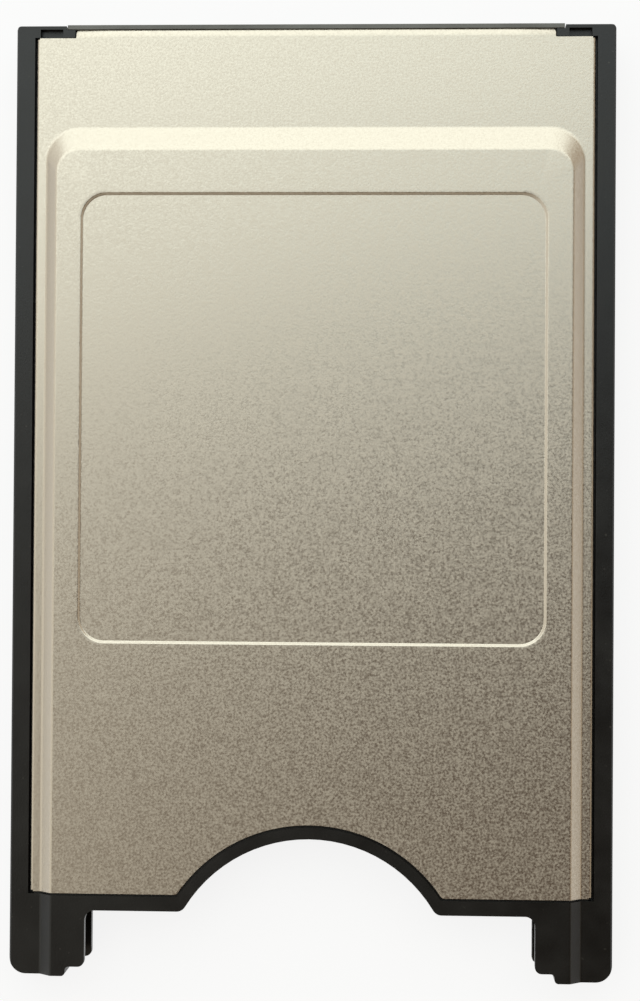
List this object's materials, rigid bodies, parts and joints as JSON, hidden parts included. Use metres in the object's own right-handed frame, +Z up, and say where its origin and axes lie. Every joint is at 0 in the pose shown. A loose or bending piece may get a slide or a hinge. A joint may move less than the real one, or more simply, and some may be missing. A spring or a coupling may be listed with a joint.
{
  "type": "memory card adapter",
  "caption": "Flat carrier with metal covers on a black frame: a small memory card slides in between the legs at one end, and a receptacle at the other end plugs into a host slot.",
  "frame": {"origin": "middle of the footprint, on the plane that the lower cover rests on", "axes": "+Z up out of the upper cover, +Y towards the host receptacle, +X to the right seen from above with +Y away"},
  "size_m": [0.054, 0.0856, 0.005],
  "materials": {
    "frame_plastic": "satin",
    "cover_steel": "satin",
    "connector_plastic": "satin",
    "plated_contacts": "satin",
    "header_plastic": "satin",
    "plated_pins": "polished",
    "board_laminate": "gloss",
    "capacitor_ceramic": "satin",
    "resistor_ceramic": "satin",
    "film_polyester": "gloss"
  },
  "bodies": {
    "root": {"frame": "frame_plastic", "upper_cover": "cover_steel", "lower_cover": "cover_steel", "host_connector_housing": "connector_plastic", "host_ground_contacts": "plated_contacts", "host_power_contacts": "plated_contacts", "host_programming_contacts": "plated_contacts", "host_detect_contacts": "plated_contacts", "host_signal_contacts_lower": "plated_contacts", "host_signal_contacts_upper": "plated_contacts", "card_header_housing": "header_plastic", "header_ground_pins": "plated_pins", "header_power_pins": "plated_pins", "header_detect_pins": "plated_pins", "header_signal_pins_lower": "plated_pins", "header_signal_pins_upper": "plated_pins", "circuit_board": "board_laminate", "bypass_capacitor_left": "capacitor_ceramic", "bypass_capacitor_right": "capacitor_ceramic", "pull_up_resistor_left": "resistor_ceramic", "pull_up_resistor_right": "resistor_ceramic", "upper_insulating_film": "film_polyester", "lower_insulating_film": "film_polyester"}
  },
  "joints": []
}
